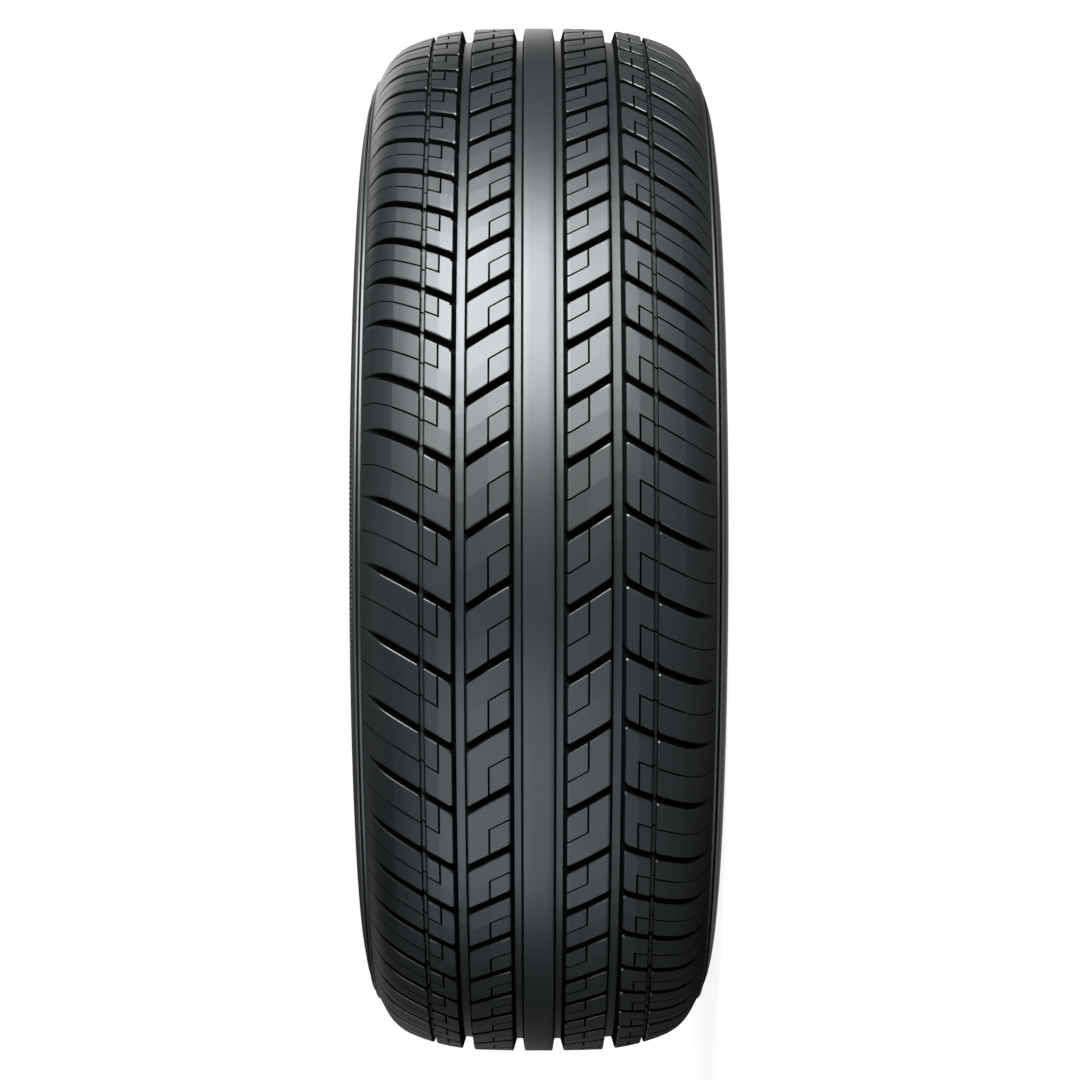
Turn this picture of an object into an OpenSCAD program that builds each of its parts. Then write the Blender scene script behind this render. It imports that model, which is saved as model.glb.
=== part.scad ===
// Car tyre with four straight main grooves and a zigzag of lateral grooves.
// It lies on one sidewall: the axle is the Z axis, and z = 0 is the middle of the tread.
// One half section is drawn and mirrored, and the grooves repeat about the axle.

/* [Size] */
// Outer diameter over the middle of the tread
outer_d = 615; // [606:1:630]
// Overall width across the two sidewalls
section_w = 202; // [199:1:210]
// Radius at which the sidewalls are widest
widest_r = 250; // [246:1:254]
// Diameter of the bore through the two bead toes
bore_d = 379; // [374:0.5:384]

/* [Crown] */
// Distance from the middle over which the tread is nearly flat
crown_half = 34; // [30:1:38]
// Section radius of the nearly flat middle
crown_r = 1050; // [800:10:1400]
// Section radius of the tread beside it
tread_r = 115; // [108:1:130]
// Distance from the middle at which the shoulder curve begins
shoulder_z = 75; // [73:0.5:77]
// Section radius of the shoulder curve
shoulder_r = 30; // [27:0.5:32]
// Steepness at which the shoulder curve ends
shoulder_angle = 62; // [58:1:66]
// Distance from the middle to the edge of the tread
tread_half = 94.7; // [93:0.1:96]

/* [Casing] */
// Thickness under the middle of the tread
crown_t = 15.5; // [14:0.5:18]
// Section radius of the inner face behind the tread
inner_crown_r = 300; // [260:10:400]
// Distance from the middle over which that radius runs
inner_half = 62; // [56:1:66]
// Thickness of each sidewall at its widest place
sidewall_t = 6.5; // [5:0.5:8]
// Section radius of the inner face of the lower sidewall
inner_low_r = 34; // [31:0.5:36]
// Angle through which that radius turns towards the bead
inner_low_angle = 60; // [54:1:66]

/* [Edge rib] */
// Width of the fine rib that runs round the edge of the tread
edge_rib_w = 2; // [1.5:0.1:2.5]
// Height of that rib
edge_rib_h = 0.8; // [0.4:0.1:1.2]
// Width of the fine channel between that rib and the sidewall
edge_channel_w = 3.2; // [2.4:0.1:4]
// Depth of that channel
edge_channel_h = 0.9; // [0.4:0.1:1.2]
// Width of the sloping sides of the rib and of the channel
edge_bevel = 0.5; // [0.3:0.1:0.7]

/* [Bead] */
// Distance between the outer faces of the two beads
bead_span = 152; // [148:1:156]
// Width of a bead's base from heel to toe
bead_base = 20; // [18:0.5:22]
// Length of the straight land beside the toe
toe_land = 6; // [4:0.5:8]
// Opening angle of the seat from that land to the heel
seat_taper = 5; // [3:0.5:8]
// Radius of the heel
heel_r = 6.5; // [5:0.5:7.5]
// Height of the bead's flat outer face above the heel
flange_h = 5; // [4:0.5:6]
// Radius of the hollow curve that lies against the rim's flange
flange_curve_r = 10; // [8:0.5:11]
// Angle through which that curve turns outwards
flange_curve_angle = 50; // [40:1:55]
// Height of the lower sidewall's end above the bore
sidewall_foot = 23; // [22:0.5:25]
// Distance by which the lower sidewall's end stands out from the bead
foot_out = 7.5; // [6:0.5:9]
// Thickness of the bead at the height of its flat face
bead_t = 14; // [12:0.5:16]

/* [Main grooves] */
// Width of the middle rib
middle_rib_w = 16.4; // [14:0.2:18]
// Width of the two inner main grooves
inner_groove_w = 6.6; // [5.6:0.2:8]
// Width of the ribs between the main grooves
block_rib_w = 23; // [21:0.5:25]
// Width of the two outer main grooves
outer_groove_w = 7.4; // [6.4:0.2:8.4]
// Depth of the main grooves
groove_depth = 7.2; // [6:0.2:8]
// Slope of the groove wall that is nearer to the middle
near_draft = 9; // [5:0.5:12]
// Slope of the groove wall that is nearer to the shoulder
far_draft = 15.5; // [10:0.5:18]
// Width of the ribs outside the outer main grooves
side_rib_w = 14.6; // [13:0.2:16]
// Width of the fine groove beside the shoulder blocks
fine_groove_w = 2.6; // [2:0.1:3.4]
// Depth of that fine groove
fine_groove_depth = 3; // [2:0.1:4]

/* [Lateral grooves] */
// Distance round the tread from a pitch line to the tip of its zigzag
zigzag_tip = 9.4; // [8:0.1:11]
// Depth of the lateral grooves
slot_depth = 6.4; // [5:0.1:7]
// Width of the slots across the block ribs
rib_slot_w = 4.2; // [3.4:0.1:5]
// Angle of those slots to the axle
rib_slot_angle = 33.7; // [28:0.1:38]
// Slope of the walls of those slots
rib_slot_draft = 5; // [2:0.5:8]
// Width of the curved slots across the shoulders
shoulder_slot_w = 3.6; // [2.8:0.1:4.4]
// Angle of the curved slots to the axle
shoulder_slot_angle = 31; // [26:0.5:34]
// Lean of the curved slots, which bends them towards the axle
shoulder_slot_lean = 14; // [8:0.5:18]
// Radius of the floor of the curved slots
shoulder_floor_r = 90; // [80:1:120]
// Distance from the middle at which that floor ends
slot_end_z = 89; // [86:0.5:91]
// Depth at which it ends there
slot_end_depth = 1; // [0.6:0.1:1.6]

/* [Pitches] */
// Relative length of a short pitch
short_pitch = 5; // [4:0.1:5.5]
// Relative length of a middle pitch
middle_pitch = 5.95; // [5.5:0.05:6.5]
// Relative length of a long pitch
long_pitch = 7.05; // [6.5:0.05:8]
// Angle about the axle at which the order of pitches starts
first_angle = 340.6; // [0:0.1:360]

/* [Hidden] */
$fn = 240;
rubber = [0.13, 0.13, 0.14];

// Order of the pitches round the tyre: how many, and of which length
PITCH_ORDER = [[10, short_pitch], [2, middle_pitch], [6, long_pitch], [3, middle_pitch],
               [14, short_pitch], [3, middle_pitch], [8, long_pitch], [5, middle_pitch],
               [3, long_pitch], [3, middle_pitch], [5, short_pitch]];

outer_r = outer_d / 2;
bore_r = bore_d / 2;
widest_z = section_w / 2;
bead_z = bead_span / 2;

// Most that a straight run may stand off the arc that it follows
arc_error = 0.25;
// The same for the floor of the curved slots
floor_error = 0.5;
// The same for the outer side of the tools that cut those slots
roof_error = 4;
// How far the cutting tools reach past the surface that they open
past = 8;

// Places of the grooves, counted from the middle of the tread
inner_groove_z = middle_rib_w / 2;
block_rib_z = inner_groove_z + inner_groove_w;
outer_groove_z = block_rib_z + block_rib_w;
side_rib_z = outer_groove_z + outer_groove_w;
fine_groove_z = side_rib_z + side_rib_w;
shoulder_block_z = fine_groove_z + fine_groove_w;
inner_groove_mid = inner_groove_z + inner_groove_w / 2;
outer_groove_mid = outer_groove_z + outer_groove_w / 2;

// Three tangent arcs and a straight end shape the tread: angle and drop where each one ends
crown_end = asin(crown_half / crown_r);
crown_drop = crown_r * (1 - cos(crown_end));
tread_mid = crown_half - tread_r * sin(crown_end);
tread_end = asin((shoulder_z - tread_mid) / tread_r);
tread_drop = crown_drop + tread_r * (cos(crown_end) - cos(tread_end));
shoulder_mid = shoulder_z - shoulder_r * sin(tread_end);
shoulder_end_z = shoulder_mid + shoulder_r * sin(shoulder_angle);
shoulder_drop = tread_drop + shoulder_r * (cos(tread_end) - cos(shoulder_angle));

// How far the tread lies below its middle, at a distance z from the middle
function drop(z) =
    z < crown_half ? crown_r - sqrt(crown_r ^ 2 - z ^ 2)
    : z < shoulder_z ? crown_drop + tread_r * cos(crown_end) - sqrt(tread_r ^ 2 - (z - tread_mid) ^ 2)
    : z < shoulder_end_z
        ? tread_drop + shoulder_r * cos(tread_end) - sqrt(shoulder_r ^ 2 - (z - shoulder_mid) ^ 2)
    : shoulder_drop + (z - shoulder_end_z) * tan(shoulder_angle);

// A point of the section, as radius and height, at a depth below the tread
function below_tread(z, depth = 0) = [outer_r - drop(z) - depth, z];

// A groove round the tread: two sloping walls and a floor
function ring_groove(z, w, depth, near, far) =
    [below_tread(z), below_tread(z + depth * tan(near), depth),
     below_tread(z + w - depth * tan(far), depth), below_tread(z + w)];

// Points of an arc from angle a to angle b, where angle 0 points outwards from the axle
function arc(centre, r, a, b, error = arc_error) =
    let (steps = ceil(abs(b - a) / (2 * acos(1 - error / r))))
    [for (i = [0:steps]) let (t = a + (b - a) * i / steps) centre + r * [cos(t), sin(t)]];

// A list without its first point, where that is the last point of the list before it
function past_first(points) = [for (i = [1:len(points) - 1]) points[i]];

// Radius of the arc that leaves p level with the widest place and passes through q
function bulge_r(p, q) = (pow(p.y - q.y, 2) + pow(p.x - q.x, 2)) / (2 * (p.y - q.y));

// The edge of the tread, with its fine rib and channel
edge = below_tread(tread_half);
edge_along = [-sin(shoulder_angle), cos(shoulder_angle)];
edge_out = [cos(shoulder_angle), sin(shoulder_angle)];
function at_edge(along, out) = edge + along * edge_along + out * edge_out;
edge_rib = [at_edge(-edge_rib_w, 0), at_edge(-edge_rib_w + edge_bevel, edge_rib_h),
            at_edge(-edge_bevel, edge_rib_h), at_edge(0, 0),
            at_edge(edge_bevel, -edge_channel_h), at_edge(edge_channel_w - edge_bevel, -edge_channel_h)];
sidewall_top = at_edge(edge_channel_w, 0);

// The sidewall: one arc above its widest place and one below
widest = [widest_r, widest_z];
foot = [bore_r + sidewall_foot, bead_z + foot_out];
upper_r = bulge_r(widest, sidewall_top);
lower_r = bulge_r(widest, foot);
upper_angle = asin((sidewall_top.x - widest_r) / upper_r);
lower_angle = asin((widest_r - foot.x) / lower_r);
sidewall = concat(
    arc([widest_r, widest_z - upper_r], upper_r, 90 - upper_angle, 90),
    past_first(arc([widest_r, widest_z - lower_r], lower_r, 90, 90 + lower_angle)));

// The bead: hollow curve, flat outer face, round heel, tapered seat, straight land and toe
heel_x = bore_r + (bead_base - toe_land - heel_r) * tan(seat_taper);
flange_x = heel_x + heel_r + flange_h;
toe_z = bead_z - bead_base;
bead = concat(
    arc([flange_x, bead_z + flange_curve_r], flange_curve_r, -90 + flange_curve_angle, -90),
    arc([heel_x + heel_r, bead_z - heel_r], heel_r, 90, 180),
    [[bore_r, toe_z + toe_land], [bore_r, toe_z]]);

// The inner face, from the toe to the middle
inner_widest_z = widest_z - sidewall_t;
inner_crown_end = asin(inner_half / inner_crown_r);
inner_shoulder_r = (inner_widest_z - inner_half) / (1 - sin(inner_crown_end));
inner_top = outer_r - crown_t;
inner_shoulder = [inner_top - inner_crown_r + (inner_crown_r - inner_shoulder_r) * cos(inner_crown_end),
                  inner_widest_z - inner_shoulder_r];
inner_low = [inner_shoulder.x, inner_widest_z - inner_low_r];
inner = concat(
    [[flange_x, bead_z - bead_t]],
    arc(inner_low, inner_low_r, 90 + inner_low_angle, 90),
    past_first(arc(inner_shoulder, inner_shoulder_r, 90, inner_crown_end)),
    past_first(arc([inner_top - inner_crown_r, 0], inner_crown_r, inner_crown_end, 0)));

// The outer face, from the middle to the toe
outer = concat(
    [below_tread(0)],
    ring_groove(inner_groove_z, inner_groove_w, groove_depth, near_draft, far_draft),
    ring_groove(outer_groove_z, outer_groove_w, groove_depth, near_draft, far_draft),
    [below_tread(side_rib_z + side_rib_w / 2)],
    ring_groove(fine_groove_z, fine_groove_w, fine_groove_depth, near_draft, near_draft),
    [below_tread((shoulder_block_z + shoulder_z) / 2)],
    arc([outer_r - tread_drop - shoulder_r * cos(tread_end), shoulder_mid],
        shoulder_r, tread_end, shoulder_angle),
    edge_rib, sidewall, bead);

// Half of the section is turned over to give the other half
function turned_over(points) = [for (i = [len(points) - 1:-1:0]) [points[i].x, -points[i].y]];
section = concat(turned_over(past_first(outer)), outer, inner, past_first(turned_over(inner)));

// Lengths of the pitches in order, and the angle at which each one starts
pitches = [for (run = PITCH_ORDER) for (i = [1:run[0]]) run[1]];
function sum_to(count) = count == 0 ? 0 : pitches[count - 1] + sum_to(count - 1);
all_pitches = sum_to(len(pitches));
function pitch_angle(k) = first_angle - 360 * sum_to(k) / all_pitches;

// Turns an object about the axle by a distance measured round the tread
module round_tread(distance) {
    rotate([0, 0, distance * 180 / (PI * outer_r)]) children();
}

// Straight slot across a block rib, from one main groove into the next
module rib_slot() {
    reach = outer_groove_mid - inner_groove_mid;
    floor_x = outer_r - drop(outer_groove_mid) - slot_depth;
    function half_w(x) = rib_slot_w / 2 + (x - outer_r) * tan(rib_slot_draft);
    round_tread(reach / 2 * tan(rib_slot_angle) - zigzag_tip)
        translate([0, 0, inner_groove_mid + reach / 2])
            rotate([rib_slot_angle, 0, 0])
                linear_extrude(reach / cos(rib_slot_angle), center = true)
                    polygon([[floor_x, -half_w(floor_x)], [outer_r + past, -half_w(outer_r + past)],
                             [outer_r + past, half_w(outer_r + past)], [floor_x, half_w(floor_x)]]);
}

// Curved slot from the outer main groove across the side rib and the shoulder.
// It is a piece of a flat ring, whose inner edge is the floor. The ring's plane leans,
// so that the slot bends towards the axle as the shoulder falls away.
module shoulder_slot() {
    slope = shoulder_slot_angle;
    lean = shoulder_slot_lean;
    start_z = outer_groove_mid;
    start_x = outer_r - drop(start_z);
    end_x = outer_r - drop(slot_end_z) - slot_end_depth;
    // The two ends of the floor, in the plane of the ring
    p = [-slot_depth, 0];
    q = [(end_x - start_x) / cos(lean),
         -(slot_end_z - start_z + (end_x - start_x) * tan(lean) * sin(slope)) / cos(slope)];
    chord = norm(q - p);
    chord_angle = atan2(q.y - p.y, q.x - p.x);
    centre = (p + q) / 2 + sqrt(shoulder_floor_r ^ 2 - chord ^ 2 / 4)
        * [cos(chord_angle - 90), sin(chord_angle - 90)];
    from = atan2(q.y - centre.y, q.x - centre.x);
    to = atan2(p.y - centre.y, p.x - centre.x);
    roof_r = shoulder_floor_r + slot_depth + past;
    round_tread(-zigzag_tip)
        translate([start_x, 0, start_z])
            rotate([-slope, 0, 0]) rotate([0, 0, lean]) rotate([-90, 0, 0])
                linear_extrude(shoulder_slot_w, center = true)
                    polygon(concat(arc(centre, shoulder_floor_r, from, to, floor_error),
                                   arc(centre, roof_r, to, from, roof_error)));
}

// The lateral grooves of one pitch: those of one side, and the same turned over
module pitch_slots() {
    for (turn = [0, 180])
        rotate([turn, 0, 0]) {
            rib_slot();
            shoulder_slot();
        }
}

// The tyre, moulded as one piece
module tyre() {
    color(rubber)
        difference() {
            rotate_extrude() polygon(section);
            for (k = [0:len(pitches) - 1])
                rotate([0, 0, pitch_angle(k)]) pitch_slots();
        }
}

tyre();
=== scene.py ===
"""A car tyre, seen straight on at its tread. Sizes are in millimetres until the mesh is made.

The axle is +Z, and the skin is made of rings round it. Along a ring, x is the distance round the tread,
and v is the ring's distance from the middle of the tread. The rings of one side, turned half round, also
make the other side, but for its lip and its fine ridges.
"""
import math
from collections import namedtuple

import bpy
import numpy as np
from mathutils import Matrix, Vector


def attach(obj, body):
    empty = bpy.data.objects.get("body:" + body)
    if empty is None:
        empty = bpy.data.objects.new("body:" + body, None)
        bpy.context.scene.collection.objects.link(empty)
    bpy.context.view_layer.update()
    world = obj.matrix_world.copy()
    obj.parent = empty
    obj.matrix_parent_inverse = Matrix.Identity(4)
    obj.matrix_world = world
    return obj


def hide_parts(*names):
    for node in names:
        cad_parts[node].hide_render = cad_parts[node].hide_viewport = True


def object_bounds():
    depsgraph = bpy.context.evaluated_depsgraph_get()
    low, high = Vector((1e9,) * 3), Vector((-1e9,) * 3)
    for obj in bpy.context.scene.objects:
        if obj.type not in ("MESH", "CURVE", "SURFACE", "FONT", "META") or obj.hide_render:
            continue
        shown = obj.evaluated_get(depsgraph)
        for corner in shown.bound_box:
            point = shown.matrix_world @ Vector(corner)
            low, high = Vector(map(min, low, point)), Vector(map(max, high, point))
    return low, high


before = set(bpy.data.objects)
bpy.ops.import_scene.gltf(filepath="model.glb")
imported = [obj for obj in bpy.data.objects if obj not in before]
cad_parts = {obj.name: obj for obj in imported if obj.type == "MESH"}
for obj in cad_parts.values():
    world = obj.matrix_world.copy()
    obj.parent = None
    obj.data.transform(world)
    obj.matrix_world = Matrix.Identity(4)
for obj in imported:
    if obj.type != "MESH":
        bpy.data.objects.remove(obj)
cad_low, cad_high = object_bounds()
MM = 0.001

# Sizes that the CAD part has too
OUTER_R = 307.5
BORE_R = 189.5
WIDEST_R, WIDEST_Z = 250.0, 101.0
CROWN_HALF, CROWN_R = 34.0, 1050.0
TREAD_R = 115.0
SHOULDER_Z, SHOULDER_R, SHOULDER_ANGLE = 75.0, 30.0, math.radians(62)
TREAD_HALF = 94.7
EDGE_RIB_H, EDGE_BEVEL = 0.8, 0.5
CHANNEL_W, CHANNEL_H = 3.2, 0.9
MIDDLE_RIB, INNER_GROOVE, BLOCK_RIB = 16.4, 6.6, 23.0
OUTER_GROOVE, SIDE_RIB, FINE_GROOVE = 7.4, 14.6, 2.6
GROOVE_DEPTH, FINE_DEPTH = 7.2, 3.0
NEAR_DRAFT, FAR_DRAFT = math.radians(9), math.radians(15.5)
ZIGZAG_TIP, SLOT_DEPTH = 9.4, 6.4
RIB_SLOT_W, RIB_SLOT_ANGLE = 4.2, math.radians(33.7)
SIDE_SLOT_W, SIDE_SLOT_ANGLE, SIDE_SLOT_LEAN = 3.6, math.radians(31), math.radians(14)
FIRST_ANGLE = 340.6
SHORT, MIDDLE, LONG = 5.0, 5.95, 7.05
PITCH_ORDER = [(10, SHORT), (2, MIDDLE), (6, LONG), (3, MIDDLE), (14, SHORT), (3, MIDDLE),
               (8, LONG), (5, MIDDLE), (3, LONG), (3, MIDDLE), (5, SHORT)]
CROWN_T, INNER_CROWN_R, INNER_HALF = 15.5, 300.0, 62.0
SIDEWALL_T, INNER_LOW_R, INNER_LOW_ANGLE = 6.5, 34.0, 60.0
BEAD_Z, BEAD_BASE, TOE_LAND, SEAT_TAPER = 76.0, 20.0, 6.0, math.radians(5)
HEEL_R, FLANGE_H, FLANGE_CURVE_R, FLANGE_CURVE_ANGLE = 6.5, 5.0, 10.0, 50.0
FOOT_R, FOOT_Z, BEAD_T = 212.5, 83.5, 14.0

# Places of the grooves, counted from the middle of the tread
INNER_0 = MIDDLE_RIB / 2
INNER_1 = INNER_0 + INNER_GROOVE
OUTER_0 = INNER_1 + BLOCK_RIB
OUTER_1 = OUTER_0 + OUTER_GROOVE
FINE_0 = OUTER_1 + SIDE_RIB
FINE_1 = FINE_0 + FINE_GROOVE
INNER_MID = (INNER_0 + INNER_1) / 2
OUTER_MID = (OUTER_0 + OUTER_1) / 2

# The edges and corners of the blocks
BEVEL = 0.5              # width of the worn-in edge round each block
BEVEL_DEPTH = 0.4        # height of that edge
FINE_BEVEL = 0.25        # width of that edge beside the fine groove
CORNER = 1.1             # radius of the blocks' corners in plan
FINE_CORNER = 0.7        # the same beside the fine groove
CHIP_DEPTH = 1.2         # how far the corners beside the outer and the fine groove are worn down
CHIP_BEVEL_SHARE = 0.6   # the share of it inside the worn-in edge

# The sipes, which are thin cuts in the blocks
SIPE_W, SIPE_DEPTH = 1.1, 5.0
SHOULDER_SIPE_DEPTH = 3.6
THIN_SIPE_V = 76.5       # from here on the shoulder's sipes are fine lines
THIN_SIPE_STEP = 0.2     # how far the change takes
THIN_SIPE_W, THIN_SIPE_DEPTH = 0.75, 0.7
SIPE_END = 91.5          # where the shoulder's sipes end
BLOCK_SIPE_V = 26.1      # where the block rib's sipe turns
SIDE_SIPE_V = 52.6       # where the side rib's sipe turns

# The slots
SLOT_BEND_V = 19.5       # inside this, the block rib's slots bend across towards the inner groove
SLOT_BEND = 0.045        # how sharply they bend there
RIB_SLOT_DRAFT = 0.11    # how much their walls lean, as a slope
SIDE_SLOT_EXTRA = 0.1    # how much wider the curved slots are at the tread, on each side
SIDE_SLOT_DRAFT = 0.45   # how much narrower their floor is, on each side
SLOT_NARROW_START = 80.5  # where the curved slots begin to narrow
SLOT_NARROW_END = 93.2   # where they would be closed
SLOT_NARROWING = 0.6     # below 1 they stay wide at first
LEAST_SLOT_HALF, LEAST_FLOOR_HALF = 0.2, 0.08
SLOT_END = 92.6          # where the line ends that is left of them
SLOT_DEPTHS = ((0, SLOT_DEPTH), (OUTER_MID, SLOT_DEPTH), (60, 5.6), (78, 5.2), (85, 4.4),
               (89, 2.2), (91, 1.0), (SLOT_END, 0.5))
MOUTH_FLAT, MOUTH_RUN = 0.6, 3.0  # how far the slots stay as deep as a main groove, and then rise
SHOULDER_PLACES = (68, 72, THIN_SIPE_V - THIN_SIPE_STEP, THIN_SIPE_V, 79, 81.5, 83.8, 86, 87.8, 89.4,
                   91, SLOT_END)  # rows on the shoulder, closer together where the slots narrow
SLOT_ROUNDS = 12         # rounds that find a curved slot's place
JUST_PAST = 1e-9         # from the middle of the inner groove to where the slots' own line holds

# The edge rib. Places are along the shoulder from the tread's edge, and heights are out of it.
CUT_START, CUT_END = -2.2, -1.7   # a shallow cut beside the rib's foot
CUT_SLOPE, CUT_H = 0.15, 0.2
RIB_FOOT, RIB_FOOT_H = -1.6, -0.05
RIB_TOP, RIB_TOP_H = -1.15, 0.72
RIB_EDGE_SHARE, RIB_EDGE_H_SHARE = 0.4, 0.8  # its outer corner, as shares of its bevel and height

# The lip beyond the channel and the band of fine ridges, both on the side at +Z
CHANNEL_END = CHANNEL_W + 0.3  # where the channel's wall comes up to the sidewall
PLAIN_START = CHANNEL_END + 0.1  # where the sidewall starts on the side that has no lip
LIP_FOOT_W, LIP_FOOT_H = 0.05, 0.1
LIP_W, LIP_H = 0.4, 0.65
LIP_TOP_W, LIP_TOP_DROP = 0.15, 0.05
LIP_BACK_W = 0.6
RIDGE_OUTER_R, RIDGE_INNER_R = 264.5, 248.0
RIDGE_RUN = 0.5          # how far the valleys take to reach their depth at the band's outer end
RIDGE_MIDDLE_R = WIDEST_R + 6
RIDGE_H = 0.35
RIDGES = 11              # ridges in one pitch
VALLEY_END, RIDGE_START, RIDGE_END = 0.38, 0.5, 0.88  # shares of one ridge's length
RIDGE_GAP = 1.0          # the wall's plain rings stay this far from the band

# How much darker and duller each face is, from 0 to 1. In the slots, sipes, groove walls, channel and
# ridges' valleys this is painted shade; the sidewall and inner face are only duller, as matt rubber.
SLOT_SHADE, WALL_SHADE, INNER_SHADE, SIDE_SHADE = 1.0, 0.98, 0.6, 0.5
PALE_UP_TO = 0.6         # up to this the rubber gets duller only, and darker from there on
COAT_UP_TO = 0.6         # from this on it has no gloss over it
FADE_START, FADE_END, FADE_LEAST = 83.0, 90.0, 0.3  # the slots' shade fades towards the tread's edge

# The mesh
EVEN_POINTS = 4          # points in each pitch of a ring that has no pattern
SHARP_ANGLE = math.radians(40)
FLAT_WEIGHT = 80         # how much the large faces count for the normals

# Levels of the rows and columns of points. On the tread they rise from a groove's floor to the
# block's plain top, and the last two are for rows beyond the tread.
FLOOR, WALL, BEVELLED, ROUNDING, PLAIN = 3, 2, 1, 0, -1
INSIDE, SIDEWALL = 4, 5
COLUMN_LEVELS = (FLOOR, WALL, BEVELLED, ROUNDING, PLAIN, PLAIN, PLAIN, ROUNDING, BEVELLED, WALL, FLOOR)
MIDDLE_COLUMN = 5

# A row of points across the pitches. Inward is the way along v to the inside of its own rib, corner is
# the radius of the blocks' corners there, and chipped says whether these are worn down.
NEAR, FAR = 1, -1
Row = namedtuple("Row", "v level depth inward corner chipped", defaults=(NEAR, CORNER, False))

# The tread's section is three tangent arcs and a straight end
CROWN_END = math.asin(CROWN_HALF / CROWN_R)
CROWN_DROP = CROWN_R * (1 - math.cos(CROWN_END))
TREAD_MID = CROWN_HALF - TREAD_R * math.sin(CROWN_END)
TREAD_END = math.asin((SHOULDER_Z - TREAD_MID) / TREAD_R)
TREAD_DROP = CROWN_DROP + TREAD_R * (math.cos(CROWN_END) - math.cos(TREAD_END))
SHOULDER_MID = SHOULDER_Z - SHOULDER_R * math.sin(TREAD_END)
SHOULDER_END = SHOULDER_MID + SHOULDER_R * math.sin(SHOULDER_ANGLE)
SHOULDER_DROP = TREAD_DROP + SHOULDER_R * (math.cos(TREAD_END) - math.cos(SHOULDER_ANGLE))


def drop(v):
    """How far the tread lies below its middle, at a distance v from the middle."""
    if v < CROWN_HALF:
        return CROWN_R - math.sqrt(CROWN_R ** 2 - v ** 2)
    if v < SHOULDER_Z:
        rise = math.sqrt(TREAD_R ** 2 - (v - TREAD_MID) ** 2)
        return CROWN_DROP + TREAD_R * math.cos(CROWN_END) - rise
    if v < SHOULDER_END:
        rise = math.sqrt(SHOULDER_R ** 2 - (v - SHOULDER_MID) ** 2)
        return TREAD_DROP + SHOULDER_R * math.cos(TREAD_END) - rise
    return SHOULDER_DROP + (v - SHOULDER_END) * math.tan(SHOULDER_ANGLE)


def slot_line(v):
    """Distance round the tread from a pitch line to the middle of its slot, at v."""
    if v <= INNER_MID:
        return (v / INNER_MID) * slot_line(INNER_MID + JUST_PAST)
    if v <= OUTER_MID:
        bend = SLOT_BEND * max(0.0, SLOT_BEND_V - v) ** 2
        return (OUTER_MID - v) * math.tan(RIB_SLOT_ANGLE) - ZIGZAG_TIP - bend
    start_x = OUTER_R - drop(OUTER_MID)
    lean = math.tan(SIDE_SLOT_LEAN) / math.cos(SIDE_SLOT_ANGLE)
    y = 0.0
    for _ in range(SLOT_ROUNDS):
        x = math.sqrt((OUTER_R - drop(v)) ** 2 - y ** 2)
        y = (x - start_x) * lean + (v - OUTER_MID) * math.tan(SIDE_SLOT_ANGLE)
    return math.atan2(y, x) * OUTER_R - ZIGZAG_TIP


def slot_half(v):
    """Half of the slot's width round the tread at v, at the tread and at its floor."""
    if v < OUTER_MID:
        top = RIB_SLOT_W / 2 / math.cos(RIB_SLOT_ANGLE)
        return top, top - SLOT_DEPTH * RIB_SLOT_DRAFT
    top = SIDE_SLOT_W / 2 / math.cos(SIDE_SLOT_ANGLE) / math.cos(SIDE_SLOT_LEAN) + SIDE_SLOT_EXTRA
    left = (SLOT_NARROW_END - v) / (SLOT_NARROW_END - SLOT_NARROW_START)
    narrow = min(1.0, max(0.0, left)) ** SLOT_NARROWING
    return max(top * narrow, LEAST_SLOT_HALF), max((top - SIDE_SLOT_DRAFT) * narrow, LEAST_FLOOR_HALF)


def slot_depth(v):
    """The slots are as deep as the main grooves where they meet, and shallow near the tread's edge."""
    near = min(abs(v - edge) for edge in (INNER_1, OUTER_0, OUTER_1))
    mouth = (GROOVE_DEPTH - SLOT_DEPTH) * min(1.0, max(0.0, 1 - (near - MOUTH_FLAT) / MOUTH_RUN))
    return mouth + float(np.interp(v, *zip(*SLOT_DEPTHS)))


SIDE_SHIFT = slot_line(SLOT_END)  # where the pitches start on the rings beyond the pattern


def sipe_depth(v):
    if v >= THIN_SIPE_V:
        return THIN_SIPE_DEPTH
    return SIPE_DEPTH if v < FINE_0 else SHOULDER_SIPE_DEPTH


def on_sipe(v, column):
    """Whether the point of that column, in the row at v, lies on the floor of a sipe."""
    if column == MIDDLE_COLUMN:
        return INNER_1 <= v <= BLOCK_SIPE_V or SIDE_SIPE_V <= v < SIPE_END
    if v == BLOCK_SIPE_V:
        return column < MIDDLE_COLUMN
    return v == SIDE_SIPE_V and column > MIDDLE_COLUMN


def edge_rows(v, inward, bevel=BEVEL, corner=CORNER, chipped=False):
    """A rib's edge: the top of the groove's wall, the inside of the bevel and where corners begin."""
    depth = BEVEL_DEPTH * bevel / BEVEL
    return [Row(v, WALL, depth, inward, corner, chipped),
            Row(v + inward * bevel, BEVELLED, 0, inward, corner, chipped),
            Row(v + inward * bevel + inward * corner, ROUNDING, 0, inward, corner, chipped)]


def floor_rows(v0, v1, depth, near, far, corner=CORNER):
    """The two sides of a groove's floor."""
    return [Row(v0 + depth * math.tan(near), FLOOR, depth, FAR, corner),
            Row(v1 - depth * math.tan(far), FLOOR, depth, NEAR, corner)]


def plain_rows(*places):
    return [Row(v, PLAIN, 0) for v in places]


def sipe_rows(v):
    return plain_rows(v - SIPE_W / 2, v, v + SIPE_W / 2)


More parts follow.
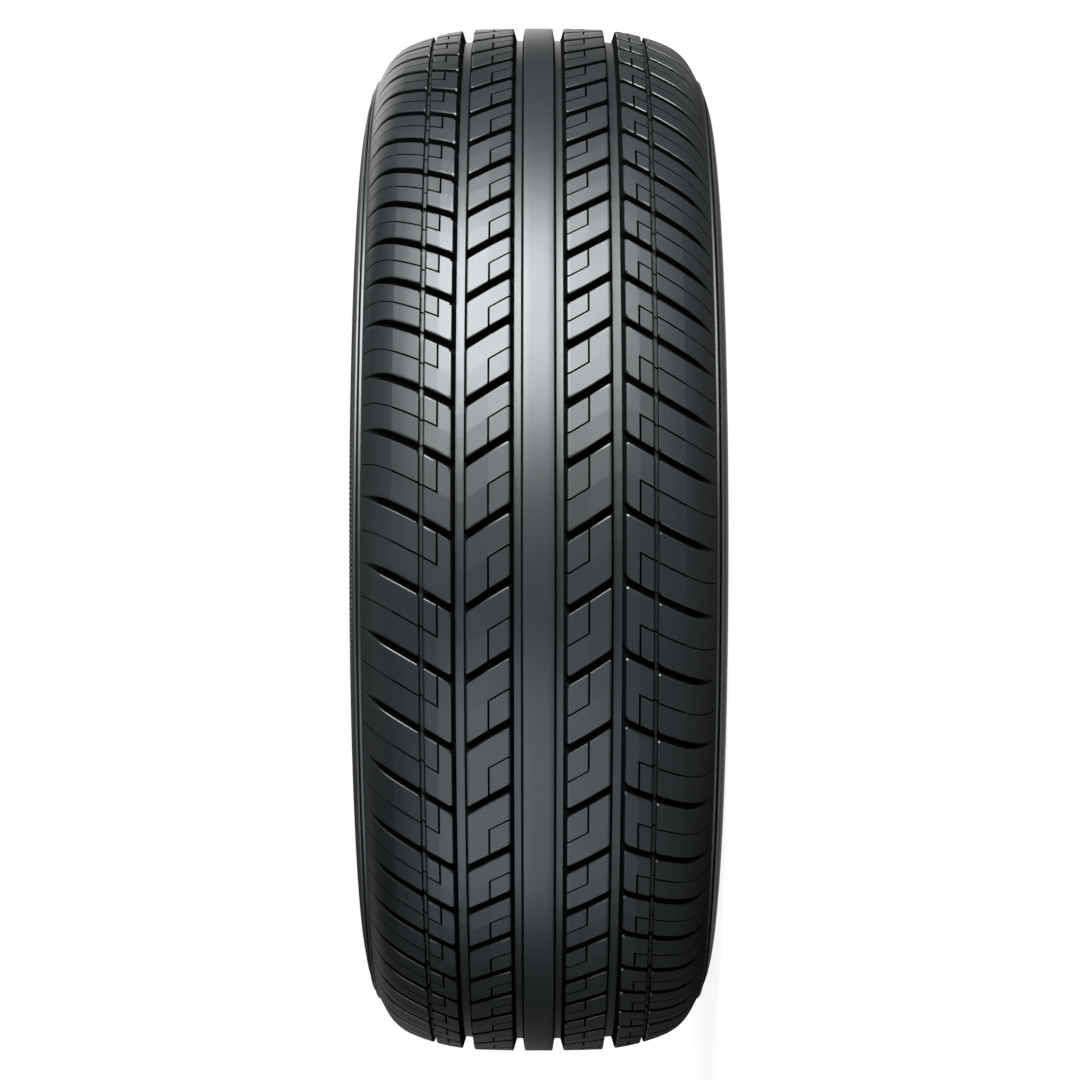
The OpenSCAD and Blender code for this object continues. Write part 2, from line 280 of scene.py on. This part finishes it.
MIDDLE_ROWS = [
    *plain_rows(0, INNER_0 / 2),
    Row(INNER_0 - BEVEL, BEVELLED, 0),
    Row(INNER_0, WALL, BEVEL_DEPTH),
    Row(INNER_0 + GROOVE_DEPTH * math.tan(NEAR_DRAFT), FLOOR, GROOVE_DEPTH)]
PATTERN_ROWS = [
    Row(INNER_1 - GROOVE_DEPTH * math.tan(FAR_DRAFT), FLOOR, GROOVE_DEPTH),
    *edge_rows(INNER_1, NEAR),
    *sipe_rows(BLOCK_SIPE_V),
    *edge_rows(OUTER_0, FAR)[::-1],
    *floor_rows(OUTER_0, OUTER_1, GROOVE_DEPTH, NEAR_DRAFT, FAR_DRAFT),
    *edge_rows(OUTER_1, NEAR, chipped=True),
    *sipe_rows(SIDE_SIPE_V),
    *edge_rows(FINE_0, FAR, FINE_BEVEL, FINE_CORNER)[::-1],
    *floor_rows(FINE_0, FINE_1, FINE_DEPTH, NEAR_DRAFT, NEAR_DRAFT, FINE_CORNER),
    *edge_rows(FINE_1, NEAR, FINE_BEVEL, FINE_CORNER, chipped=True),
    *plain_rows(*SHOULDER_PLACES)]


def same_edge(i, level):
    """The row of that level at the same edge of the rib as row i."""
    row = PATTERN_ROWS[i]
    return PATTERN_ROWS[i + row.inward * (row.level - level)]


def on_round_corner(i, level, place, centre, reach):
    """Where a point beside a slot goes, and its v, once the blocks have round corners in place of square.

    The arcs turn round the point where the rounding starts, whose place is centre. Reach is the
    distance from it to the arc, below 0 where the slot is at the lower end of the pitch.
    """
    row = PATTERN_ROWS[i]
    start = same_edge(i, ROUNDING).v
    if level >= row.level:
        reach_v = abs(same_edge(i, level).v - start)
        turn = math.pi / 4 * min(1, abs(row.v - start) / reach_v)
    else:
        reach_v = abs(row.v - start)
        turn = math.pi / 2 - math.pi / 4 * min(1, abs(place - centre) / abs(reach))
    v = row.v if row.level == FLOOR else start - row.inward * reach_v * math.sin(turn)
    return centre + reach * math.cos(turn), v


def pattern_ring(i, length):
    """One row of the pattern over one pitch, as points (x, radius, v, level of the column, sipe)."""
    row = PATTERN_ROWS[i]
    top, base = slot_half(row.v)
    slot_side = [base, top, top + BEVEL, top + BEVEL + row.corner]
    sipe_half = THIN_SIPE_W / 2 if row.v >= THIN_SIPE_V else SIPE_W / 2
    places = slot_side + [length / 2 - sipe_half, length / 2, length / 2 + sipe_half]
    places += [length - place for place in reversed(slot_side)]
    wall = slot_depth(row.v)
    slot_depths = {FLOOR: wall, WALL: min(BEVEL_DEPTH, wall)}
    corner = slot_side[-1]
    reaches = {FLOOR: corner - base, WALL: corner - top, BEVELLED: corner - (top + BEVEL)}
    points = []
    for column, (place, level) in enumerate(zip(places, COLUMN_LEVELS)):
        depth = max(slot_depths.get(level, 0), row.depth)
        v = row.v
        if level > ROUNDING and row.level > ROUNDING:
            lowest = max(level, row.level)
            centre, side = (corner, -1) if column < MIDDLE_COLUMN else (length - corner, 1)
            place, v = on_round_corner(i, level, place, centre, side * reaches[lowest])
            if row.chipped and lowest < FLOOR:
                depth = max(depth, CHIP_DEPTH * (CHIP_BEVEL_SHARE if lowest == BEVELLED else 1))
        sipe = on_sipe(row.v, column)
        if sipe:
            depth = max(depth, sipe_depth(row.v))
        points.append((slot_line(v) + place, OUTER_R - drop(v) - depth, v, level, sipe))
    return points


def even_ring(r, z, shift):
    """A plain ring. Its first point in each pitch is at the distance shift from the pitch line."""
    return lambda length: [(shift + length * i / EVEN_POINTS, r, z, PLAIN, 0) for i in range(EVEN_POINTS)]


def ridged_ring(r, z, height):
    """A ring with flat-topped ridges: two points in each valley and two on each top. The valleys' level
    gives them painted shade.
    """
    steps = ((0.0, height, WALL), (VALLEY_END, height, WALL),
             (RIDGE_START, 0.0, PLAIN), (RIDGE_END, 0.0, PLAIN))
    return lambda length: [(SIDE_SHIFT + length * (i + part) / RIDGES, r, z - down, level, 0)
                           for i in range(RIDGES) for part, down, level in steps]


def arc(centre, r, start, end, steps):
    """Points on an arc between two angles in degrees, as (radius, z)."""
    angles = [math.radians(start + (end - start) * i / steps) for i in range(steps + 1)]
    return [(centre[0] + r * math.cos(angle), centre[1] + r * math.sin(angle)) for angle in angles]


def at_edge(along, out):
    """A place as (radius, z), from the tread's edge along the shoulder and out of it."""
    along_r, along_z = -math.sin(SHOULDER_ANGLE), math.cos(SHOULDER_ANGLE)
    out_r, out_z = along_z, -along_r
    return (OUTER_R - drop(TREAD_HALF) + along * along_r + out * out_r,
            TREAD_HALF + along * along_z + out * out_z)


def edge_profile(dressed):
    """The edge rib and the channel as (radius, z, level), with the lip where the side is dressed."""
    # Points at the wall level mark the faces of the cut beside the rib, of the rib's outer side and of
    # the channel, which get painted shade
    profile = [(CUT_START, 0, WALL), (CUT_START + CUT_SLOPE, -CUT_H, WALL), (CUT_END, -CUT_H, WALL),
               (RIB_FOOT, RIB_FOOT_H, PLAIN), (RIB_TOP, RIB_TOP_H, PLAIN),
               (-EDGE_BEVEL, EDGE_RIB_H, PLAIN),
               (-EDGE_BEVEL * RIB_EDGE_SHARE, EDGE_RIB_H * RIB_EDGE_H_SHARE, WALL), (0, 0, WALL),
               (EDGE_BEVEL, -CHANNEL_H, WALL), (CHANNEL_W - EDGE_BEVEL, -CHANNEL_H, WALL),
               (CHANNEL_END, 0, WALL)]
    if dressed:
        lip_top = CHANNEL_END + LIP_W
        profile += [(CHANNEL_END + LIP_FOOT_W, LIP_FOOT_H, PLAIN), (lip_top, LIP_H, PLAIN),
                    (lip_top + LIP_TOP_W, LIP_H - LIP_TOP_DROP, PLAIN), (lip_top + LIP_BACK_W, 0, PLAIN)]
    else:
        profile += [(PLAIN_START, 0, PLAIN)]
    return [(*at_edge(along, out), level) for along, out, level in profile]


def wall_profile():
    """The sidewall from the channel to the rim's flange, as (radius, z)."""
    top_r, top_z = at_edge(CHANNEL_W, 0)
    upper_r = ((WIDEST_Z - top_z) ** 2 + (WIDEST_R - top_r) ** 2) / (2 * (WIDEST_Z - top_z))
    lower_r = ((WIDEST_Z - FOOT_Z) ** 2 + (WIDEST_R - FOOT_R) ** 2) / (2 * (WIDEST_Z - FOOT_Z))
    upper_angle = math.degrees(math.asin((top_r - WIDEST_R) / upper_r))
    lower_angle = math.degrees(math.asin((WIDEST_R - FOOT_R) / lower_r))
    return (arc((WIDEST_R, WIDEST_Z - upper_r), upper_r, 90 - upper_angle, 90, steps=6)[1:]
            + arc((WIDEST_R, WIDEST_Z - lower_r), lower_r, 90, 90 + lower_angle, steps=7)[1:])


def inner_profile():
    """The bead and the inner face up to the middle of the tread, as (radius, z)."""
    heel_r = BORE_R + (BEAD_BASE - TOE_LAND - HEEL_R) * math.tan(SEAT_TAPER)
    flange_r = heel_r + HEEL_R + FLANGE_H
    flange_mid = (flange_r, BEAD_Z + FLANGE_CURVE_R)
    flange = arc(flange_mid, FLANGE_CURVE_R, FLANGE_CURVE_ANGLE - 90, -90, steps=4)
    heel = arc((heel_r + HEEL_R, BEAD_Z - HEEL_R), HEEL_R, 90, 180, steps=5)
    toe_z = BEAD_Z - BEAD_BASE
    toe = [(BORE_R, toe_z + TOE_LAND), (BORE_R, toe_z), (flange_r, BEAD_Z - BEAD_T)]
    widest = WIDEST_Z - SIDEWALL_T
    crown_end = math.asin(INNER_HALF / INNER_CROWN_R)
    crown_mid = (OUTER_R - CROWN_T - INNER_CROWN_R, 0)
    shoulder_r = (widest - INNER_HALF) / (1 - math.sin(crown_end))
    wall_mid_r = crown_mid[0] + (INNER_CROWN_R - shoulder_r) * math.cos(crown_end)
    low_mid, shoulder_mid = (wall_mid_r, widest - INNER_LOW_R), (wall_mid_r, widest - shoulder_r)
    return (flange + heel + toe
            + arc(low_mid, INNER_LOW_R, 90 + INNER_LOW_ANGLE, 90, steps=6)
            + arc(shoulder_mid, shoulder_r, 90, math.degrees(crown_end), steps=6)[1:]
            + arc(crown_mid, INNER_CROWN_R, math.degrees(crown_end), 0, steps=4)[1:])


def plain_rings(profile, level):
    return [(even_ring(r, z, SIDE_SHIFT), level) for r, z in profile]


def ridge_rings(wall):
    """The rings of the band of ridges, whose tops lie on the wall's profile."""
    radii, heights = zip(*reversed(wall))
    rings = []
    for r, ridge in ((RIDGE_OUTER_R, 0), (RIDGE_OUTER_R - RIDGE_RUN, RIDGE_H), (RIDGE_MIDDLE_R, RIDGE_H),
                     (WIDEST_R, RIDGE_H), (RIDGE_INNER_R, 0)):
        z = float(np.interp(r, radii, heights))
        rings.append((ridged_ring(r, z, ridge), SIDEWALL))
    return rings


def half_rings(dressed):
    """The rings from the middle of the tread to the middle of the inner face, as (points, level).

    The dressed side has the lip and the band of ridges.
    """
    rings = [(even_ring(OUTER_R - drop(row.v) - row.depth, row.v, slot_line(row.v)), row.level)
             for row in MIDDLE_ROWS]
    for i, row in enumerate(PATTERN_ROWS):
        rings.append((lambda length, i=i: pattern_ring(i, length), row.level))
    rings += [(even_ring(r, z, SIDE_SHIFT), level) for r, z, level in edge_profile(dressed)]
    wall = wall_profile()
    if dressed:
        rings += plain_rings([(r, z) for r, z in wall if r > RIDGE_OUTER_R + RIDGE_GAP], SIDEWALL)
        rings += ridge_rings(wall)
        rings += plain_rings([(r, z) for r, z in wall if r < RIDGE_INNER_R - RIDGE_GAP], SIDEWALL)
    else:
        rings += plain_rings(wall, SIDEWALL)
    return rings + plain_rings(inner_profile(), INSIDE)


class Skin:
    """A closed surface made of rings. Each ring has the same number of points on every pitch."""

    def __init__(self):
        lengths = [unit for count, unit in PITCH_ORDER for _ in range(count)]
        total = sum(lengths)
        starts = FIRST_ANGLE - 360 * np.cumsum(lengths) / total
        # In order of rising angle: where each pitch starts, and its length round the tread
        self.starts = np.radians(starts[::-1])
        self.lengths = [2 * math.pi * OUTER_R * unit / total for unit in lengths][::-1]
        self.rings = []
        self.verts = []

    def add(self, points_of, level, flip):
        """points_of(length) gives one pitch's points. Flip turns the ring to the side at -Z."""
        known = {}
        points = []
        for start, length in zip(self.starts, self.lengths):
            if length not in known:
                known[length] = np.array(points_of(length), float)
            x, r, z, column, sipe = known[length].T
            if flip:
                angle = start + (length - x[::-1]) / OUTER_R
                r, z, column, sipe = r[::-1], -z[::-1], column[::-1], sipe[::-1]
            else:
                angle = start + x / OUTER_R
            row = np.full_like(r, level)
            points.append(np.stack([r * np.cos(angle), r * np.sin(angle), z, column, sipe, row], 1))
        points = np.concatenate(points)
        if flip:
            points = np.roll(points, 1, axis=0)
        first = sum(len(ring) for ring in self.verts)
        self.verts.append(points)
        places = places_of(known[self.lengths[0]][:, 0], self.lengths[0], flip)
        self.rings.append((first, len(places), places))

    def faces(self):
        """Quads between rings with as many points each, and triangles between the others."""
        pitches = len(self.lengths)
        quads, triangles = [], []
        for ring_a, ring_b in zip(self.rings, self.rings[1:] + self.rings[:1]):
            first_a, count_a, places_a = ring_a
            first_b, count_b, places_b = ring_b
            total_a, total_b = count_a * pitches, count_b * pitches
            if count_a == count_b:
                k = np.arange(total_a)
                after = (k + 1) % total_a
                quads.append(np.stack([first_a + k, first_a + after, first_b + after, first_b + k], 1))
                continue
            ends_a, ends_b = list(places_a) + [1.0], list(places_b) + [1.0]
            for pitch in range(pitches):
                i = j = 0
                while i < count_a or j < count_b:
                    a = first_a + (pitch * count_a + i) % total_a
                    b = first_b + (pitch * count_b + j) % total_b
                    if j == count_b or (i < count_a and ends_a[i + 1] <= ends_b[j + 1]):
                        i += 1
                        triangles.append((a, first_a + (pitch * count_a + i) % total_a, b))
                    else:
                        j += 1
                        triangles.append((a, first_b + (pitch * count_b + j) % total_b, b))
        return np.concatenate(quads), np.array(triangles)


def places_of(x, length, flip):
    """Places of a ring's points within a pitch, from 0 to 1 in order of rising angle."""
    places = (x - x[0]) / length
    if flip:
        places = np.concatenate([[0.0], np.sort((1 - places)[1:])])
    return places


def shade_of(points, faces):
    """Each face's painted shade: 0 on the tread and on the main grooves' floors, and up to 1 in the
    sipes, slots, groove walls and ridges' valleys, where shade falls. The sidewall and inner face get a
    share that only makes them duller.
    """
    z, column, sipe, row = (points[faces, k] for k in (2, 3, 4, 5))
    column, row = column.min(1), row.min(1)
    slot_or_valley = column >= WALL
    fade = np.interp(np.abs(z).mean(1), [FADE_START, FADE_END], [1.0, FADE_LEAST])
    slot = np.where(slot_or_valley, SLOT_SHADE * fade, 0.0)
    # The ridges' valleys get full painted shade, and the rest of the sidewall is only duller
    side = np.where(slot_or_valley, 1.0, SIDE_SHADE)
    kinds = [sipe.max(1) > 0, row == FLOOR, row == WALL, row == INSIDE, row == SIDEWALL]
    return np.select(kinds, [1.0, 0.0, WALL_SHADE, INNER_SHADE, side], slot)


def make_tyre():
    skin = Skin()
    for ring, level in half_rings(dressed=True):
        skin.add(ring, level, flip=False)
    # Both sides share the rings in the middle of the tread and of the inner face
    for ring, level in half_rings(dressed=False)[-2:0:-1]:
        skin.add(ring, level, flip=True)
    points = np.concatenate(skin.verts)
    quads, triangles = skin.faces()
    mesh = bpy.data.meshes.new("tyre_rubber")
    mesh.from_pydata((points[:, :3] * MM).tolist(), [], quads.tolist() + triangles.tolist())
    # Each face keeps its painted shade, high in a slot, sipe or groove's wall where shade falls, for the
    # rubber's colour and gloss
    shade = mesh.attributes.new("shade", "FLOAT", "FACE")
    shades = np.concatenate([shade_of(points, quads), shade_of(points, triangles)])
    shade.data.foreach_set("value", shades)
    mesh.validate()
    mesh.shade_smooth()
    mesh.set_sharp_from_angle(angle=SHARP_ANGLE)
    made = bpy.data.objects.new("tyre_rubber", mesh)
    bpy.context.scene.collection.objects.link(made)
    even = made.modifiers.new("flat_faces_first", "WEIGHTED_NORMAL")
    even.keep_sharp = True
    even.weight = FLAT_WEIGHT
    return made


def set_inputs(tree, node, inputs):
    """Gives each input socket a value, or the output of another node that feeds it."""
    for socket, value in inputs.items():
        if isinstance(value, bpy.types.NodeSocket):
            tree.links.new(value, node.inputs[socket])
        else:
            node.inputs[socket].default_value = value


def calculate(tree, operation, *inputs):
    """The output of a Math node. Each input is a number or another node's output."""
    node = tree.nodes.new("ShaderNodeMath")
    node.operation = operation
    set_inputs(tree, node, dict(enumerate(inputs)))
    return node.outputs["Value"]


def remap(tree, source, start, end, low, high, curve="LINEAR"):
    """The source with start to end taken to low to high, and held at low and high beyond."""
    node = tree.nodes.new("ShaderNodeMapRange")
    node.interpolation_type = curve
    inputs = {"Value": source, "From Min": start, "From Max": end, "To Min": low, "To Max": high}
    set_inputs(tree, node, inputs)
    return node.outputs["Result"]


def mix(tree, kind, factor, first, second):
    """From first to second as the factor goes from 0 to 1."""
    node = tree.nodes.new("ShaderNodeMix")
    node.data_type = kind
    set_inputs(tree, node, {"Factor": factor, "A": first, "B": second})
    return node.outputs["Result"]


def noise(tree, place, scale, detail, roughness=0.5):
    node = tree.nodes.new("ShaderNodeTexNoise")
    set_inputs(tree, node, {"Vector": place, "Scale": scale, "Detail": detail, "Roughness": roughness})
    return node.outputs["Fac"]


# The rubber
RUBBER_COLOUR = (0.0198, 0.0242, 0.0262, 1)
# The colour of the painted shade in the slots, sipes, groove walls and ridges' valleys
PAINTED_SHADE_COLOUR = (0.008, 0.009, 0.0095, 1)
COAT_ROUGHNESS, COAT_IOR = 0.38, 1.6
PATCH_SCALE, PATCH_DETAIL, PATCH_MIX = 22, 5, 0.6   # faint patches about 45 mm wide
PATCH_LOW, PATCH_HIGH = 0.3, 0.7                    # the range of their noise
ROUGH_LEAST, ROUGH_MOST = 0.42, 0.49                # roughness over that range
ROUGH_FOR_SHADE = 0.35                              # added where the shade is 1
PALE_LEAST, PALE_MOST = 0.92, 1.08                  # brightness over that range
GRAIN_SCALE, GRAIN_DETAIL, GRAIN_STRENGTH, GRAIN_DEPTH = 900, 3, 0.08, 0.0004


def rubber():
    """Satin black rubber, duller in faint patches, with painted shade: matt and darker where the shade
    attribute says so.
    """
    material = bpy.data.materials.new("tyre_rubber")
    material.use_nodes = True
    tree = material.node_tree
    attribute = tree.nodes.new("ShaderNodeAttribute")
    attribute.attribute_name = "shade"
    shade = attribute.outputs["Fac"]
    place = tree.nodes.new("ShaderNodeTexCoord").outputs["Object"]
    patches = noise(tree, place, PATCH_SCALE, PATCH_DETAIL, PATCH_MIX)
    rough = remap(tree, patches, PATCH_LOW, PATCH_HIGH, ROUGH_LEAST, ROUGH_MOST)
    pale = remap(tree, patches, PATCH_LOW, PATCH_HIGH, PALE_LEAST, PALE_MOST)
    # Painted shade: the colour goes darker as the shade rises past PALE_UP_TO, and the gloss fades with
    # it
    colour_with_painted_shade = mix(tree, "RGBA", remap(tree, shade, PALE_UP_TO, 1, 0, 1), RUBBER_COLOUR, PAINTED_SHADE_COLOUR)
    colour = tree.nodes.new("ShaderNodeVectorMath")
    colour.operation = "SCALE"
    set_inputs(tree, colour, {"Vector": colour_with_painted_shade, "Scale": pale})
    grain = noise(tree, place, GRAIN_SCALE, GRAIN_DETAIL)
    relief = tree.nodes.new("ShaderNodeBump")
    set_inputs(tree, relief, {"Height": grain, "Strength": GRAIN_STRENGTH, "Distance": GRAIN_DEPTH})
    set_inputs(tree, tree.nodes["Principled BSDF"], {
        "Base Color": colour.outputs["Vector"],
        "Roughness": calculate(tree, "MULTIPLY_ADD", shade, ROUGH_FOR_SHADE, rough),
        "Specular IOR Level": remap(tree, shade, 0, 1, 1, 0),
        "Coat Weight": remap(tree, shade, 0, COAT_UP_TO, 1, 0),
        "Coat Roughness": COAT_ROUGHNESS,
        "Coat IOR": COAT_IOR,
        "Normal": relief.outputs["Normal"]})
    return material


tyre = make_tyre()
tyre.data.materials.append(rubber())
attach(tyre, "root")
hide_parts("tyre")

# Camera: level with the axle and turned a quarter, so that the picture's top is +X
PHOTO_SIZE = 1080               # pixels across and down
FOCAL_LENGTH = 3257             # in the photo's pixels
LEFT, DOWN = 1.3, -0.4          # the tyre's middle from the picture's middle, in pixels
CAMERA_DISTANCE = 1.984         # metres
SENSOR_W = 36

camera_data = bpy.data.cameras.new("camera")
camera_data.lens = FOCAL_LENGTH / PHOTO_SIZE * SENSOR_W
camera_data.sensor_width = SENSOR_W
camera_data.shift_x = LEFT / PHOTO_SIZE
camera_data.shift_y = DOWN / PHOTO_SIZE
camera = bpy.data.objects.new("camera", camera_data)
camera.matrix_world = Matrix(((0, 1, 0, 0), (0, 0, -1, -CAMERA_DISTANCE), (-1, 0, 0, 0), (0, 0, 0, 1)))
bpy.context.scene.collection.objects.link(camera)
bpy.context.scene.camera = camera
bpy.context.scene.view_settings.view_transform = "Standard"


def along(elevation, aside, distance):
    """A place seen from the tyre: elevation towards the picture's top, aside towards its left."""
    e, t = math.radians(elevation), math.radians(aside)
    level = distance * math.cos(e)
    return (distance * math.sin(e), -level * math.cos(t), level * math.sin(t))


def area_lamp(name, place, width, height, power, colour):
    """A softbox that faces the tyre. Its height runs towards +X as far as it can."""
    data = bpy.data.lights.new(name, "AREA")
    data.shape = "RECTANGLE"
    data.size, data.size_y, data.energy = width, height, power
    data.color = colour
    lamp = bpy.data.objects.new(name, data)
    back = np.array(place, float)
    back /= np.linalg.norm(back)
    side = np.cross((1.0, 0.0, 0.0), back)
    side /= np.linalg.norm(side)
    rows = np.stack([side, np.cross(back, side), back, place], 1)
    lamp.matrix_world = Matrix(rows.tolist() + [[0, 0, 0, 1]])
    bpy.context.scene.collection.objects.link(lamp)


KEY_COLOUR, FILL_COLOUR, WHITE = (0.97, 1, 1.015), (0.9, 1, 1.05), (1, 1, 1)
# Name, place, width and height in metres, power in watts, colour
for softbox in (("key", along(49, 9, 2.3), 1.6, 1.7, 84, KEY_COLOUR),
                ("key_low", along(24, 9, 2.3), 1.6, 0.6, 7, KEY_COLOUR),
                ("fill_front", along(-38, 4, 2.4), 1.4, 1.1, 7.5, FILL_COLOUR),
                ("fill_low", along(-66, 12, 2.4), 1.4, 1.1, 7, FILL_COLOUR),
                ("back", (0.8, 2.3, 0.6), 2.0, 2.0, 13, WHITE)):
    area_lamp(*softbox)

# The floor, in metres. Distances are from the middle of the tyre.
FLOOR_HALF = 6.0
FLOOR_COLOUR = (0.8, 0.8, 0.8, 1)
FLOOR_BOUNCE = (0.15, 0.15, 0.15, 1)          # the floor's colour to everything but the camera
FLOOR_ROUGHNESS, FLOOR_SHEEN = 0.35, 0.5
GLOW_START, GLOW_END = 0.33, 0.6              # the camera sees the floor glow, less beside the tyre
GLOW_LEAST, GLOW_MOST = 0.88, 1.0
# A painted glow on the floor beside the tyre, which puts a painted rim of light on the tyre's lower
# sidewall
RIM_START, RIM_END, RIM_GLOW = 0.274, 0.287, 1.0  # light from below that only reflections show


def floor_paint():
    """White paint that glows to the camera, and is dark to the tyre except for a painted glow close to it
    that only reflections show.
    """
    material = bpy.data.materials.new("floor_white")
    material.use_nodes = True
    tree = material.node_tree
    path = tree.nodes.new("ShaderNodeLightPath")
    camera_ray, glossy_ray = path.outputs["Is Camera Ray"], path.outputs["Is Glossy Ray"]
    place = tree.nodes.new("ShaderNodeTexCoord").outputs["Object"]
    distance = tree.nodes.new("ShaderNodeVectorMath")
    distance.operation = "LENGTH"
    set_inputs(tree, distance, {0: place})
    away = distance.outputs["Value"]
    glow = remap(tree, away, GLOW_START, GLOW_END, GLOW_LEAST, GLOW_MOST, "SMOOTHSTEP")
    seen = calculate(tree, "MULTIPLY", camera_ray, glow)
    # Painted glow: the floor beside the tyre glows for reflections only
    rim = remap(tree, away, RIM_START, RIM_END, RIM_GLOW, 0)
    set_inputs(tree, tree.nodes["Principled BSDF"], {
        "Base Color": mix(tree, "RGBA", camera_ray, FLOOR_BOUNCE, FLOOR_COLOUR),
        "Roughness": FLOOR_ROUGHNESS,
        "Specular IOR Level": remap(tree, camera_ray, 0, 1, FLOOR_SHEEN, 0),
        "Emission Color": (1, 1, 1, 1),
        "Emission Strength": calculate(tree, "MULTIPLY_ADD", glossy_ray, rim, seen)})
    return material


def make_floor():
    mesh = bpy.data.meshes.new("floor")
    corners = [(x * FLOOR_HALF, y * FLOOR_HALF, cad_low.z)
               for x, y in ((-1, -1), (1, -1), (1, 1), (-1, 1))]
    mesh.from_pydata(corners, [], [(0, 1, 2, 3)])
    mesh.materials.append(floor_paint())
    made = bpy.data.objects.new("floor", mesh)
    bpy.context.scene.collection.objects.link(made)
    return made


floor = make_floor()

# The studio is white to the camera, and lights the tyre faintly from behind (+Y) and above (+Z)
SKY_RAMPS = (("Y", 0.62, 0.9, 0.17), ("Z", 0.8, 0.97, 0.12))  # axis, start, end, strength at the end


def studio():
    world = bpy.data.worlds.new("studio")
    world.use_nodes = True
    tree = world.node_tree
    camera_ray = tree.nodes.new("ShaderNodeLightPath").outputs["Is Camera Ray"]
    direction = tree.nodes.new("ShaderNodeTexCoord").outputs["Generated"]
    split = tree.nodes.new("ShaderNodeSeparateXYZ")
    set_inputs(tree, split, {"Vector": direction})
    sides = [remap(tree, split.outputs[axis], start, end, 0, strength)
             for axis, start, end, strength in SKY_RAMPS]
    set_inputs(tree, tree.nodes["Background"], {
        "Color": (1, 1, 1, 1),
        "Strength": mix(tree, "FLOAT", camera_ray, calculate(tree, "MAXIMUM", *sides), 1)})
    return world


bpy.context.scene.world = studio()
